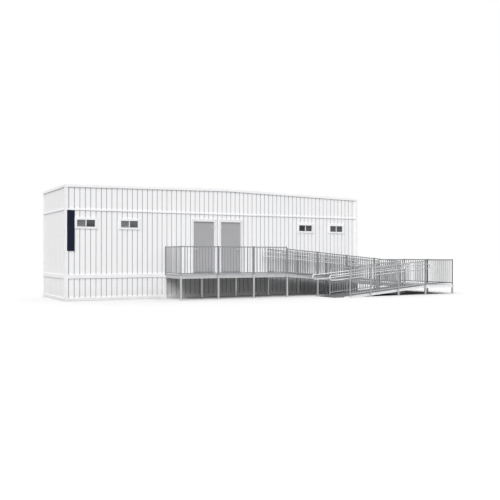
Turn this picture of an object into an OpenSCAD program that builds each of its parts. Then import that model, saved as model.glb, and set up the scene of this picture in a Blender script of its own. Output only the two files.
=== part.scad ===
// Portable toilet building: a long modular cabin with grooved siding, two outward doors and four
// high windows, reached by an aluminium deck, a ramp along the wall, a landing and a return ramp.
// Millimetres. Lengths along the building run from its left front corner, heights from the ground.

/* [Building] */
// Length of the cabin over its siding
building_len = 13411; // [12600:1:16000]
// Depth of the cabin over its siding
building_depth = 3454; // [2400:1:4200]
// Height of the roof edge's lower line at both ends
eave_line = 4190; // [3800:1:4600]
// Rise of the roof from the ends to the middle
ridge_rise = 130; // [40:1:400]
// Thickness of the framed walls and the skirting
wall_t = 100; // [80:1:150]
// Thickness of the siding boards
siding_t = 15; // [12:1:20]
// Height of the finished floor
floor_h = 965; // [850:1:1050]
// Thickness of the floor platform
floor_t = 200; // [150:1:250]
// Thickness of the roof panel
roof_t = 60; // [50:1:120]

/* [Siding and trim] */
// Spacing of the siding grooves
groove_pitch = 203.2; // [100:0.1:300]
// Distance from a wall's left corner to its first groove
groove_first = 136; // [120:1:200]
// Width of a groove at its mouth
groove_w = 30; // [10:1:40]
// Depth of a groove
groove_d = 9; // [4:1:10]
// Thickness of the trim boards
trim_t = 20; // [15:1:24]
// Width of the corner boards
corner_w = 100; // [60:1:110]
// Height of the base board's upper edge
base_h = 123; // [80:1:200]
// Distance from the finished floor down to the lower edge of the belt at floor level
lower_belt_drop = 138; // [125:1:170]
// Height of the belt at floor level
lower_belt_h = 144; // [100:1:160]
// Lower edge of the belt over the windows
upper_belt_z = 3348; // [3250:1:3500]
// Height of the belt over the windows
upper_belt_h = 56; // [40:1:120]
// Height of the roof edge
coping_h = 95; // [91:1:120]
// Distance that the roof edge stands out from the siding
coping_t = 28; // [25:1:40]

/* [Windows] */
// Distance from the left corner to the middle of the first window
window_1 = 771; // [600:1:900]
// Distance from the left corner to the middle of the second window
window_2 = 2452; // [1900:1:3000]
// Distance from the right corner to the middle of the third window
window_3 = 2852; // [2300:1:3300]
// Distance from the right corner to the middle of the fourth window
window_4 = 1178; // [600:1:1300]
// Height of the middle of the windows
window_z = 2882; // [2700:1:3000]
// Width of a window's glass, both panes and the bar between them
glass_w = 677; // [500:1:800]
// Height of a window's glass
glass_h = 240; // [180:1:320]
// Width of the window frame round the glass
sash_w = 32; // [20:1:45]
// Width of the bar between the two panes
mullion_w = 30; // [20:1:50]
// Width of the window's outer trim
window_trim_w = 60; // [40:1:90]
// Thickness of the glass
pane_t = 6; // [4:1:10]

/* [Doors] */
// Distance from the left corner to the left edge of the first doorway
door_x = 5147; // [4800:1:5400]
// Distance between the two doorways
door_gap = 319; // [300:1:420]
// Clear width of a doorway
door_w = 914; // [850:1:960]
// Height of a doorway over its sill
door_clear_h = 2067; // [1950:1:2100]
// Height of the sill's upper face over the floor
sill_rise = 15; // [5:1:30]
// Thickness of a door leaf
leaf_t = 45; // [35:1:50]
// Gap round a door leaf
leaf_gap = 6; // [5:1:10]
// Distance from the siding's face to the leaf's outer face
leaf_recess = 10; // [0:1:20]
// Thickness of the door frame's lining
lining_t = 25; // [20:1:40]
// Width of the trim round a doorway
door_trim_w = 100; // [70:1:110]
// Height of a lever over the leaf's lower edge
lever_h = 950; // [850:1:1100]
// Length of a lever from its spindle
lever_len = 120; // [90:1:150]

/* [Deck and ramps] */
// Distance from the deck's left legs to the first doorway
deck_lead = 1247; // [600:1:1400]
// Number of bays along the deck
deck_bays = 3; // [2:1:4]
// Length of a deck bay
deck_bay = 1560; // [1200:1:1700]
// Height of the step from the deck up to the floor
deck_step = 35; // [10:1:60]
// Number of bays along the upper ramp
ramp_bays = 4; // [3:1:5]
// Length of an upper ramp bay
ramp_bay = 1510; // [1200:1:1700]
// Distance from the siding to the middle of the legs by the wall
wall_post_y = 100; // [100:1:200]
// Distance between the two rows of legs of the deck and upper ramp
walk_w = 1500; // [1100:1:1800]
// Distance between the upper ramp's front legs and the lower ramp's rear legs
ramp_gap = 190; // [150:1:400]
// Distance between the two rows of legs of the lower ramp
lower_w = 1370; // [1100:1:1800]
// Height of the landing
landing_h = 400; // [300:1:500]
// Length of the landing between its legs
landing_len = 1600; // [1200:1:1800]
// Length of the lower ramp's surface
lower_run = 4700; // [4500:1:6000]
// Lengths of the lower ramp's guard bays, from the landing down
lower_bays = [1510, 1480, 1050];
// Width of the square legs
leg_w = 60; // [50:1:75]
// Width of the legs' foot plates
foot_w = 100; // [90:1:120]
// Thickness of the walking surface
surface_t = 30; // [20:1:40]
// Depth of the frames under the deck, the upper ramp and the landing
frame_h = 97; // [70:1:120]
// Depth of the lower ramp's frame
lower_frame_h = 77; // [60:1:120]
// Thickness of the frames' members
frame_t = 40; // [25:1:60]

/* [Guards and handrails] */
// Height of the guards on the deck
deck_guard_h = 1098; // [1000:1:1150]
// Height of the guards on the upper ramp
upper_guard_h = 1028; // [960:1:1150]
// Height of the guards on the landing
landing_guard_h = 1103; // [1000:1:1150]
// Height of the guards on the lower ramp
lower_guard_h = 1060; // [960:1:1150]
// Height of a guard's rails
rail_h = 38; // [25:1:50]
// Width of a guard's square end posts and depth of its rails
rail_d = 38; // [25:1:50]
// Gap between two guards whose end posts stand side by side
stile_gap = 8; // [4:1:20]
// Gap between the walking surface and a guard's lower rail
guard_foot = 55; // [50:1:100]
// Width of a guard's pickets
picket_w = 19; // [12:1:24]
// Spacing of the pickets, at most
picket_pitch = 125; // [90:1:200]
// Diameter of the handrail pipe
pipe_d = 38; // [32:1:45]
// Height of the upper handrail over the walking surface
handrail_h = 895; // [860:1:930]
// Distance between the upper and lower handrails
handrail_gap = 200; // [150:1:300]
// Distance that a handrail runs on past the ends of its ramp
handrail_reach = 305; // [250:1:350]
// Distance from the middle of a guard to the middle of its handrail
handrail_off = 90; // [75:1:110]

/* [Hidden] */
$fn = 48;

white = [0.94, 0.94, 0.94];
alu = [0.72, 0.73, 0.75];
clear = 0.5;          // gap between like pieces of one node
seat = 0.3;           // running clearance of turning pieces
bed = 0.2;            // bedding gap of panes and wall tops
over = 1;             // how far a cut runs past the faces that it opens
foot_z = 5;           // trim and siding end this far over the ground

// cabin
roof_rise_x = ridge_rise / (building_len / 2);
cap_t = 5;                                        // roof edge's flange
cap_w = 100;
roof_z = eave_line + coping_h - roof_t - cap_t;  // roof panel's underside at the ends
wall_top = roof_z - bed;
lower_belt_z = floor_h - lower_belt_drop;
groove_floor_w = groove_w * 0.6;
window_xs = [window_1, window_2, building_len - window_3, building_len - window_4];
hole_w = glass_w + 2 * sash_w;
hole_h = glass_h + 2 * sash_w;
door_xs = [door_x, door_x + door_w + door_gap];
sill_top = floor_h + sill_rise;
door_top = sill_top + door_clear_h;
head_trim_h = door_trim_w * 1.2;
sill_z = floor_h - deck_step;                     // sill's underside, level with the deck
stop_w = 15;                                      // door stop
stop_t = 20;
frame_out = trim_t + 2;                           // door trim's and sill's face from the siding's
leaf_foot = 8;                                    // gap under a leaf
leaf_z = sill_top + leaf_foot;
leaf_h = door_top - leaf_gap - leaf_z;
stop_y = leaf_recess + leaf_t + 5;

// hinges and levers
barrel_r = 9;
pin_r = 4;
knuckle_h = 33;
knuckle_gap = 1;
plate_t = 3;                                      // plate on the door trim
plate_w = 40;
strap_t = 4;                                      // strap on the leaf
strap_w = 41;
strap_gap = 4;                                    // leaf's edge to the strap
bridge_w = 6;                                     // web from the strap to the knuckle
hinge_y = -frame_out - plate_t - barrel_r;
hinge_inset = 220;                                // leaf's ends to the outer hinges
hinge_zs = [leaf_z + hinge_inset, leaf_z + leaf_h / 2, leaf_z + leaf_h - hinge_inset];
backset = 70;
rose_r = 27;
rose_t = 8;
spindle_r = 9;
spindle_hole_r = 14;
grip_r = 8;
grip_off = 50;                                    // leaf's face to the middle of the grip

// blank panel
sign_w = 280;
sign_h = upper_belt_z * 0.448;
sign_t = 4;
sign_lap = 37;                                    // how far it covers the corner board

// deck and ramps
deck_h = floor_h - deck_step;
half = leg_w / 2;
rear_y = -wall_post_y;
front_y = rear_y - walk_w;
far_y = front_y - ramp_gap;                       // lower ramp's rear legs
near_y = far_y - lower_w;                         // lower ramp's front legs
deck_x0 = door_x - deck_lead;
deck_x1 = deck_x0 + deck_bays * deck_bay;
upper_x0 = deck_x1 - half;                        // top of the upper ramp
turn_x = deck_x1 + ramp_bays * ramp_bay;          // legs where both ramps meet the landing
landing_x0 = turn_x + half;
landing_x1 = turn_x + landing_len - half;
end_x = turn_x + landing_len;                     // landing's right legs
mid_y = (rear_y + near_y) / 2;
upper_run = landing_x0 - upper_x0;
upper_slope = (deck_h - landing_h) / upper_run;
lower_slope = landing_h / lower_run;
toe_x = landing_x0 - lower_run;
lower_leg_xs = [
    turn_x,
    turn_x - lower_bays[0],
    turn_x - lower_bays[0] - lower_bays[1],
    turn_x - lower_bays[0] - lower_bays[1] - lower_bays[2]
];
stile = rail_d / 2;
joint_x = stile_gap / 2 + stile;                  // joint of two guards to an end post's middle
stile_rise = 6;                                   // end posts over the upper rail
foot_t = 10;
arm_r = 8;
arm_root = 5;                                     // how far an arm starts inside its end post
toe_len = 120;
toe_t = 6;
toe_edge = 2;

// Height of the walking surface along each ramp
function upper_z(x) = deck_h - (x - upper_x0) * upper_slope;
function lower_z(x) = landing_h - (landing_x0 - x) * lower_slope;

// Places and heights of the legs along the ramps, from the top down
function upper_leg_x(i) = deck_x1 + i * ramp_bay;
function upper_leg_z(i) =
    i == 0 ? deck_h : i == ramp_bays ? landing_h : upper_z(upper_leg_x(i));
function lower_leg_z(i) = i == 0 ? landing_h : lower_z(lower_leg_xs[i]);

// The origin is under the middle of the front skirting
module site() {
    translate([-building_len / 2, -siding_t - wall_t / 2, 0]) children();
}

// An upright sheet: its outline is drawn in X and Z, and it runs from y0 to y1
module upright(y0, y1) {
    translate([0, y1, 0]) rotate([90, 0, 0]) linear_extrude(height = y1 - y0) children();
}

module box(x0, x1, y0, y1, z0, z1) {
    translate([x0, y0, z0]) cube([x1 - x0, y1 - y0, z1 - z0]);
}

module rect(x0, x1, z0, z1) {
    translate([x0, z0]) square([x1 - x0, z1 - z0]);
}

// Height of a line that follows the roof's two slopes
function roof_line(x, z) = z + roof_rise_x * min(x, building_len - x);

// Outline of a long wall between two places, up to the roof's underside
module long_wall_outline(x0, x1, z0) {
    mid = building_len / 2;
    ridge = x0 < mid && x1 > mid ? [[mid, roof_line(mid, wall_top)]] : [];
    polygon(concat(
        [[x0, z0], [x1, z0], [x1, roof_line(x1, wall_top)]],
        ridge,
        [[x0, roof_line(x0, wall_top)]]
    ));
}

// Band that follows the roof's two slopes, from z0 to z1 at the ends
module roof_band(x0, x1, z0, z1) {
    mid = building_len / 2;
    slope = ridge_rise / mid;
    a0 = slope * x0;
    a1 = slope * (building_len - x1);
    polygon([
        [x0, z0 + a0], [mid, z0 + ridge_rise], [x1, z0 + a1],
        [x1, z1 + a1], [mid, z1 + ridge_rise], [x0, z1 + a0]
    ]);
}

module window_holes(grow) {
    for (x = window_xs)
        rect(x - hole_w / 2 - grow, x + hole_w / 2 + grow,
             window_z - hole_h / 2 - grow, window_z + hole_h / 2 + grow);
}

// Grooved boards seen from above, their face along y = 0
module siding_plan(len) {
    count = floor((len - 2 * groove_first) / groove_pitch) + 1;
    polygon(concat(
        [[0, 0]],
        [for (i = [0 : count - 1]) let (g = groove_first + i * groove_pitch) each [
            [g - groove_w / 2, 0], [g - groove_floor_w / 2, groove_d],
            [g + groove_floor_w / 2, groove_d], [g + groove_w / 2, 0]
        ]],
        [[len, 0], [len, siding_t], [0, siding_t]]
    ));
}

module skirting() {
    top = floor_h - floor_t;
    x0 = siding_t;
    x1 = building_len - siding_t;
    y0 = siding_t;
    y1 = building_depth - siding_t;
    color([0.62, 0.60, 0.56]) site() {
        box(x0, x1, y0, y0 + wall_t, 0, top);
        box(x0, x1, y1 - wall_t, y1, 0, top);
        box(x0, x0 + wall_t, y0 + wall_t + clear, y1 - wall_t - clear, 0, top);
        box(x1 - wall_t, x1, y0 + wall_t + clear, y1 - wall_t - clear, 0, top);
    }
}

module floor_platform() {
    color([0.55, 0.52, 0.48]) site()
        box(siding_t, building_len - siding_t, siding_t, building_depth - siding_t,
            floor_h - floor_t, floor_h);
}

module front_wall(x0, x1, z0) {
    color([0.80, 0.80, 0.78]) site() upright(siding_t, siding_t + wall_t) difference() {
        long_wall_outline(x0, x1, z0);
        window_holes(0);
    }
}

// A doorway's rough opening leaves room for the frame's lining
module front_wall_left() {
    front_wall(siding_t, door_xs[0] - lining_t, floor_h);
}

module front_wall_pier() {
    color([0.80, 0.80, 0.78]) site()
        box(door_xs[0] + door_w + lining_t, door_xs[1] - lining_t, siding_t, siding_t + wall_t,
            floor_h, door_top + lining_t);
}

module front_wall_right() {
    front_wall(door_xs[1] + door_w + lining_t, building_len - siding_t, floor_h);
}

module front_wall_head() {
    front_wall(door_xs[0] - lining_t, door_xs[1] + door_w + lining_t, door_top + lining_t);
}

module back_wall() {
    color([0.80, 0.80, 0.78]) site()
        upright(building_depth - siding_t - wall_t, building_depth - siding_t)
            long_wall_outline(siding_t, building_len - siding_t, floor_h);
}

// An end wall stands between the two long walls
module end_wall(x0) {
    y0 = siding_t + wall_t;
    color([0.80, 0.80, 0.78]) site() upright(y0, building_depth - y0)
        long_wall_outline(x0, x0 + wall_t, floor_h);
}

module left_end_wall() {
    end_wall(siding_t);
}

module right_end_wall() {
    end_wall(building_len - siding_t - wall_t);
}

module long_siding(openings) {
    difference() {
        intersection() {
            translate([0, 0, foot_z]) linear_extrude(height = roof_z + ridge_rise)
                siding_plan(building_len);
            upright(-over, siding_t + over) long_wall_outline(0, building_len, foot_z);
        }
        if (openings) upright(-over, siding_t + over) {
            window_holes(0);
            for (x = door_xs)
                rect(x - lining_t, x + door_w + lining_t, sill_z, door_top + lining_t);
        }
    }
}

module siding_front() {
    color(white) site() long_siding(true);
}

module siding_back() {
    color(white) site() translate([building_len, building_depth, 0]) rotate([0, 0, 180])
        long_siding(false);
}

module siding_ends() {
    run = building_depth - 2 * siding_t;
    tall = wall_top - foot_z;
    color(white) site() {
        translate([0, building_depth - siding_t, foot_z]) rotate([0, 0, -90])
            linear_extrude(height = tall) siding_plan(run);
        translate([building_len, siding_t, foot_z]) rotate([0, 0, 90])
            linear_extrude(height = tall) siding_plan(run);
    }
}

// Boards on all four sides between the corner boards
module boards_round(z0, z1) {
    box(corner_w, building_len - corner_w, -trim_t, 0, z0, z1);
    box(corner_w, building_len - corner_w, building_depth, building_depth + trim_t, z0, z1);
    box(-trim_t, 0, corner_w, building_depth - corner_w, z0, z1);
    box(building_len, building_len + trim_t, corner_w, building_depth - corner_w, z0, z1);
}

module base_boards() {
    color(white) site() boards_round(foot_z, base_h);
}

// The lower belt is notched round the door trim and the sills
module belt_boards() {
    color(white) site() {
        difference() {
            boards_round(lower_belt_z, lower_belt_z + lower_belt_h);
            for (x = door_xs)
                box(x - door_trim_w, x + door_w + door_trim_w, -2 * trim_t, trim_t,
                    sill_z, sill_z + lower_belt_h);
        }
        boards_round(upper_belt_z, upper_belt_z + upper_belt_h);
    }
}

module corner_board() {
    translate([0, 0, foot_z]) linear_extrude(height = eave_line - clear - foot_z) polygon([
        [-trim_t, -trim_t], [corner_w, -trim_t], [corner_w, 0],
        [0, 0], [0, corner_w], [-trim_t, corner_w]
    ]);
}

module corner_boards() {
    color(white) site() for (sx = [0, 1], sy = [0, 1])
        translate([sx * building_len, sy * building_depth, 0])
            mirror([sx, 0, 0]) mirror([0, sy, 0]) corner_board();
}

module roof_panel() {
    color([0.82, 0.82, 0.80]) site() upright(0, building_depth)
        roof_band(0, building_len, roof_z, roof_z + roof_t);
}

// Angle-section edge: a face over the siding's top and a flange on the roof
module long_edge() {
    top = roof_z + roof_t;
    upright(-coping_t, 0)
        roof_band(-coping_t, building_len + coping_t, eave_line, top + cap_t);
    upright(-coping_t, cap_w) roof_band(clear, building_len - clear, top, top + cap_t);
}

module end_edge() {
    top = roof_z + roof_t;
    upright(clear, building_depth - clear) rect(-coping_t, 0, eave_line, top + cap_t);
    upright(cap_w + clear, building_depth - cap_w - clear) polygon([
        [-coping_t, top], [0, top], [cap_w, top + cap_w * roof_rise_x],
        [cap_w, top + cap_t + cap_w * roof_rise_x], [0, top + cap_t], [-coping_t, top + cap_t]
    ]);
}

module roof_edge() {
    color(white) site() {
        long_edge();
        translate([0, building_depth, 0]) mirror([0, 1, 0]) long_edge();
        end_edge();
        translate([building_len, 0, 0]) mirror([1, 0, 0]) end_edge();
    }
}

module window_frame(x) {
    w = hole_w - 2 * clear;
    h = hole_h - 2 * clear;
    trim_w = hole_w + 2 * window_trim_w;
    trim_h = hole_h + 2 * window_trim_w;
    translate([x, 0, window_z]) {
        upright(-trim_t, 0) difference() {
            square([trim_w, trim_h], center = true);
            square([glass_w, glass_h], center = true);
        }
        upright(-trim_t / 2, siding_t + wall_t) difference() {
            square([w, h], center = true);
            for (side = [-1, 1]) translate([side * (glass_w + mullion_w) / 4, 0])
                square([(glass_w - mullion_w) / 2, glass_h], center = true);
        }
    }
}

module window_frames() {
    color(white) site() for (x = window_xs) window_frame(x);
}

module window_panes() {
    w = (glass_w - mullion_w) / 2;
    color([0.20, 0.24, 0.28, 0.8]) site() for (x = window_xs, side = [-1, 1])
        translate([x + side * (w + mullion_w) / 2, siding_t, window_z])
            upright(0, pane_t) square([w - 2 * bed, glass_h - 2 * bed], center = true);
}

// Outline of a frame that stands on three sides of a doorway
module arch(x, out, z0) {
    difference() {
        rect(x - out, x + door_w + out, z0, door_top + out);
        rect(x, x + door_w, z0 - over, door_top);
    }
}

module door_frames() {
    color(white) site() for (x = door_xs) {
        upright(-frame_out, 0) difference() {
            rect(x - door_trim_w + clear, x + door_w + door_trim_w - clear, sill_z,
                 door_top + head_trim_h);
            rect(x, x + door_w, sill_z - over, door_top);
        }
        upright(-trim_t, siding_t + wall_t) arch(x, lining_t - clear, floor_h);
        upright(stop_y, stop_y + stop_t) difference() {
            rect(x - over, x + door_w + over, sill_top + clear, door_top + over);
            rect(x + stop_w, x + door_w - stop_w, sill_top, door_top - stop_w);
        }
    }
}

// Sill plate that bridges from the floor's edge to the deck
module door_sills() {
    color(alu) site() for (x = door_xs) {
        box(x, x + door_w, 0, siding_t + wall_t, floor_h, sill_top);
        box(x, x + door_w, -frame_out, siding_t - clear, sill_z, sill_top);
    }
}

// side: -1 for a leaf hinged at its left, 1 at its right
function hinge_x(x, side) = side > 0 ? x + door_w : x;

// Fixed half of a butt hinge: two knuckles, the pin and a plate on the door trim
module fixed_hinge() {
    step = knuckle_h + knuckle_gap;
    tall = 2 * step + knuckle_h;
    plate_y = -frame_out - hinge_y;
    translate([0, 0, -tall / 2]) {
        for (z = [0, 2 * step]) translate([0, 0, z]) cylinder(h = knuckle_h, r = barrel_r);
        cylinder(h = tall, r = pin_r);
        for (z = [0, 2 * step]) {
            box(0, barrel_r, 0, plate_y, z, z + knuckle_h);
            box(0, plate_w, plate_y - plate_t, plate_y, z, z + knuckle_h);
        }
        box(1.5 * barrel_r, plate_w, plate_y - plate_t, plate_y, 0, tall);
    }
}

// Moving half: the middle knuckle and an arm back to the leaf's face
module leaf_hinge() {
    leaf_y = leaf_recess - hinge_y;
    x1 = -leaf_gap - strap_gap;
    translate([0, 0, -knuckle_h / 2]) {
        difference() {
            union() {
                cylinder(h = knuckle_h, r = barrel_r);
                box(x1 - bridge_w, 0, -strap_t, strap_t, 0, knuckle_h);
            }
            translate([0, 0, -over]) cylinder(h = knuckle_h + 2 * over, r = pin_r + seat);
        }
        box(x1 - bridge_w, x1, -strap_t, leaf_y, 0, knuckle_h);
        box(x1 - strap_w, x1, leaf_y - strap_t, leaf_y, 0, knuckle_h);
    }
}

module at_hinges(x, side) {
    for (z = hinge_zs) translate([hinge_x(x, side), hinge_y, z])
        mirror([side > 0 ? 0 : 1, 0, 0]) children();
}

module hinge_pins() {
    color([0.70, 0.70, 0.70]) site() {
        at_hinges(door_xs[0], 1) fixed_hinge();
        at_hinges(door_xs[1], -1) fixed_hinge();
    }
}

// Place of the lever's spindle on the leaf's outer face, away from the hinges
function spindle_x(x, side) =
    side > 0 ? x + leaf_gap + backset : x + door_w - leaf_gap - backset;

module door_leaf(x, side) {
    color([0.66, 0.66, 0.67]) site() difference() {
        box(x + leaf_gap, x + door_w - leaf_gap, leaf_recess, leaf_recess + leaf_t,
            leaf_z, leaf_z + leaf_h);
        translate([spindle_x(x, side), leaf_recess - over, leaf_z + lever_h])
            rotate([-90, 0, 0]) cylinder(h = leaf_t + 2 * over, r = spindle_hole_r);
    }
}

module door_fittings(x, side) {
    color([0.70, 0.70, 0.70]) site() {
        at_hinges(x, side) leaf_hinge();
        for (y = [leaf_recess - rose_t, leaf_recess + leaf_t])
            translate([spindle_x(x, side), y, leaf_z + lever_h]) rotate([-90, 0, 0])
                difference() {
                    cylinder(h = rose_t, r = rose_r);
                    translate([0, 0, -over])
                        cylinder(h = rose_t + 2 * over, r = spindle_r + seat);
                }
    }
}

// Spindle through the leaf with a grip on each side, pointing to the hinges
module lever(x, side) {
    y0 = leaf_recess - grip_off;
    y1 = leaf_recess + leaf_t + grip_off;
    color([0.75, 0.75, 0.76]) site() translate([spindle_x(x, side), 0, leaf_z + lever_h])
        mirror([side > 0 ? 0 : 1, 0, 0]) {
            translate([0, y0 - grip_r - 1, 0]) rotate([-90, 0, 0])
                cylinder(h = y1 - y0 + 2 * grip_r + 2, r = spindle_r);
            for (y = [y0, y1]) translate([0, y, 0]) rotate([0, 90, 0])
                cylinder(h = lever_len, r = grip_r);
        }
}

module left_door() {
    door_leaf(door_xs[0], 1);
}

module left_door_fittings() {
    door_fittings(door_xs[0], 1);
}

module left_lever() {
    lever(door_xs[0], 1);
}

module right_door() {
    door_leaf(door_xs[1], -1);
}

module right_door_fittings() {
    door_fittings(door_xs[1], -1);
}

module right_lever() {
    lever(door_xs[1], -1);
}

// Blank panel on the left corner board, up to the upper belt
module blank_sign_panel() {
    color([0.10, 0.13, 0.30]) site()
        box(corner_w - sign_lap, corner_w - sign_lap + sign_w, -trim_t - sign_t, -trim_t,
            upper_belt_z - clear - sign_h, upper_belt_z - clear);
}

// Plan of a frame: a rim and cross members at about the given spacing
module frame_plan(x0, x1, y0, y1, pitch) {
    count = ceil((x1 - x0) / pitch);
    step = (x1 - x0 - frame_t) / count;
    difference() {
        translate([x0, y0]) square([x1 - x0, y1 - y0]);
        for (i = [0 : count - 1])
            translate([x0 + frame_t + i * step, y0 + frame_t])
                square([step - frame_t, y1 - y0 - 2 * frame_t]);
    }
}

module deck_surface() {
    y0 = front_y + half;
    color(alu) site() translate([0, 0, deck_h - surface_t])
        linear_extrude(height = surface_t) polygon([
            [deck_x0 - half, y0], [upper_x0, y0], [upper_x0, -frame_out - seat],
            [deck_x0 + half, -frame_out - seat], [deck_x0 + half, rear_y - half],
            [deck_x0 - half, rear_y - half]
        ]);
}

module deck_frame() {
    color(alu) site() translate([0, 0, deck_h - surface_t - frame_h])
        linear_extrude(height = frame_h)
            frame_plan(deck_x0 - half, upper_x0, front_y + half, rear_y - half, deck_bay / 2);
}

// A leg with its foot plate
module leg(x, y, top, foot_shift = 0) {
    translate([x, y, 0]) {
        translate([-foot_w / 2, foot_shift - foot_w / 2, 0]) cube([foot_w, foot_w, foot_t]);
        translate([-half, -half, 0]) cube([leg_w, leg_w, top]);
    }
}

module legs() {
    shift = (foot_w - leg_w) / 2;
    color(alu) site() {
        for (i = [0 : deck_bays - 1]) {
            x = deck_x0 + i * deck_bay;
            leg(x, front_y, deck_h);
            leg(x, rear_y, i == 0 ? deck_h : deck_h - surface_t);
        }
        for (i = [0 : ramp_bays], y = [front_y, rear_y]) leg(upper_leg_x(i), y, upper_leg_z(i));
        for (y = [rear_y, mid_y, near_y]) leg(end_x, y, landing_h);
        for (i = [0 : len(lower_bays)]) {
            leg(lower_leg_xs[i], near_y, lower_leg_z(i), -shift);
            leg(lower_leg_xs[i], far_y, lower_leg_z(i), shift);
        }
    }
}

// A guard's end post; side is -1 or 1 where it carries handrail arms, which point that way
module guard_stile(u, surface, foot, tall, side) {
    box(u - stile, u + stile, -stile, stile, foot + bed, surface + tall + stile_rise);
    if (side != 0) for (z = [handrail_h, handrail_h - handrail_gap])
        translate([u, side * (stile - arm_root), surface + z]) rotate([-90 * side, 0, 0])
            cylinder(h = handrail_off - pipe_d / 2 - seat - stile + arm_root, r = arm_r);
}

// Guard panel whose end posts' middles are at a and b, over a surface whose height is za at a
// and zb at b: two rails and evenly spaced pickets. feet holds the heights of the end posts'
// feet, or undef for an end that a neighbour's post carries; sides tells where the arms point.
module guard_panel(a, b, za, zb, tall, feet, sides = [0, 0]) {
    slope = (zb - za) / (b - a);
    u0 = a + stile + (is_undef(feet[0]) ? bed : -over);
    u1 = b - stile - (is_undef(feet[1]) ? bed : -over);
    count = ceil((b - a - rail_d) / picket_pitch) - 1;
    step = (b - a - rail_d) / (count + 1);
    if (!is_undef(feet[0])) guard_stile(a, za, feet[0], tall, sides[0]);
    if (!is_undef(feet[1])) guard_stile(b, zb, feet[1], tall, sides[1]);
    for (z = [guard_foot, tall - rail_h]) upright(-stile, stile) polygon([
        [u0, za + slope * (u0 - a) + z], [u1, za + slope * (u1 - a) + z],
        [u1, za + slope * (u1 - a) + z + rail_h], [u0, za + slope * (u0 - a) + z + rail_h]
    ]);
    for (i = [1 : count]) {
        u = a + stile + i * step;
        z = za + slope * (u - a);
        box(u - picket_w / 2, u + picket_w / 2, -picket_w / 2, picket_w / 2,
            z + guard_foot + rail_h / 2, z + tall - rail_h / 2);
    }
}

// Guards along the deck's front and across its left end
module deck_guards() {
    color(alu) site() {
        translate([0, front_y, 0]) for (i = [0 : deck_bays - 1])
            guard_panel(deck_x0 + i * deck_bay + (i == 0 ? 0 : joint_x),
                        deck_x0 + (i + 1) * deck_bay - joint_x, deck_h, deck_h, deck_guard_h,
                        [deck_h, deck_h]);
        translate([deck_x0, 0, 0]) rotate([0, 0, 90])
            guard_panel(front_y, rear_y, deck_h, deck_h, deck_guard_h, [undef, deck_h]);
    }
}

// Outline of the upper ramp from z0 to z1 over its walking surface
module upper_outline(z0, z1) {
    polygon([
        [upper_x0, deck_h + z0], [landing_x0, landing_h + z0],
        [landing_x0, landing_h + z1], [upper_x0, deck_h + z1]
    ]);
}

module upper_ramp_surface() {
    color(alu) site() upright(front_y + half, rear_y - half) upper_outline(-surface_t, 0);
}

module upper_ramp_frame() {
    color(alu) site() intersection() {
        linear_extrude(height = deck_h)
            frame_plan(upper_x0, landing_x0, front_y + half, rear_y - half, ramp_bay / 2);
        upright(front_y, rear_y) upper_outline(-surface_t - frame_h, -surface_t);
    }
}

module upper_ramp_guards() {
    color(alu) site() for (y = [front_y, rear_y], i = [0 : ramp_bays - 1]) {
        side = y == front_y ? 1 : -1;
        a = upper_leg_x(i) + (i == 0 && y == rear_y ? 0 : joint_x);
        b = upper_leg_x(i + 1) - joint_x;
        translate([0, y, 0])
            guard_panel(a, b, upper_z(a), upper_z(b), upper_guard_h,
                        [upper_leg_z(i), upper_leg_z(i + 1)], [i == 0 ? side : 0, side]);
    }
}

// Double handrail of a ramp that falls from [0, rise] to [run, 0]: one closed loop of pipe with
// level ends and half-round returns. Each station is [x, z, direction] along the pipe's middle.
function handrail_stations(run, rise) =
    let (
        angle = atan(rise / run),
        reach = handrail_reach - handrail_gap / 2,
        low = handrail_h - handrail_gap,
        mid = handrail_h - handrail_gap / 2,
        turns = 10
    )
    concat(
        [[0, rise + handrail_h, -angle / 2], [run, handrail_h, -angle / 2]],
        [for (i = [0 : turns]) let (a = 90 - i * 180 / turns)
            [run + reach + handrail_gap / 2 * cos(a), mid + handrail_gap / 2 * sin(a), a - 90]],
        [[run, low, 180 - angle / 2], [0, rise + low, 180 - angle / 2]],
        [for (i = [0 : turns]) let (a = 270 - i * 180 / turns)
            [-reach + handrail_gap / 2 * cos(a), rise + mid + handrail_gap / 2 * sin(a), a - 90]]
    );

module handrail(run, rise) {
    sides = 16;
    r = pipe_d / 2;
    stations = handrail_stations(run, rise);
    n = len(stations);
    points = [for (s = stations, j = [0 : sides - 1]) let (b = j * 360 / sides) [
        s[0] - r * sin(b) * sin(s[2]), r * cos(b), s[1] + r * sin(b) * cos(s[2])
    ]];
    faces = [for (i = [0 : n - 1], j = [0 : sides - 1]) let (
        i2 = (i + 1) % n,
        j2 = (j + 1) % sides
    ) [i * sides + j, i * sides + j2, i2 * sides + j2, i2 * sides + j]];
    polyhedron(points, faces);
}

module upper_handrails() {
    color(alu) site() for (y = [rear_y - handrail_off, front_y + handrail_off])
        translate([upper_x0, y, landing_h]) handrail(upper_run, deck_h - landing_h);
}

module landing_surface() {
    color(alu) site()
        box(landing_x0, landing_x1, near_y - half, rear_y + half, landing_h - surface_t,
            landing_h);
}

module landing_frame() {
    color(alu) site() translate([0, 0, landing_h - surface_t - frame_h])
        linear_extrude(height = frame_h)
            frame_plan(landing_x0, landing_x1, near_y - half, rear_y + half, landing_len / 2);
}

// Guards on the landing's three closed sides
module landing_guards() {
    feet = [landing_h, landing_h];
    color(alu) site() {
        for (y = [near_y, rear_y]) translate([0, y, 0])
            guard_panel(turn_x + joint_x, end_x, landing_h, landing_h, landing_guard_h, feet);
        translate([end_x, 0, 0]) rotate([0, 0, 90]) {
            guard_panel(near_y, mid_y - joint_x, landing_h, landing_h, landing_guard_h,
                        [undef, landing_h]);
            guard_panel(mid_y + joint_x, rear_y, landing_h, landing_h, landing_guard_h,
                        [landing_h, undef]);
        }
    }
}

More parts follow.
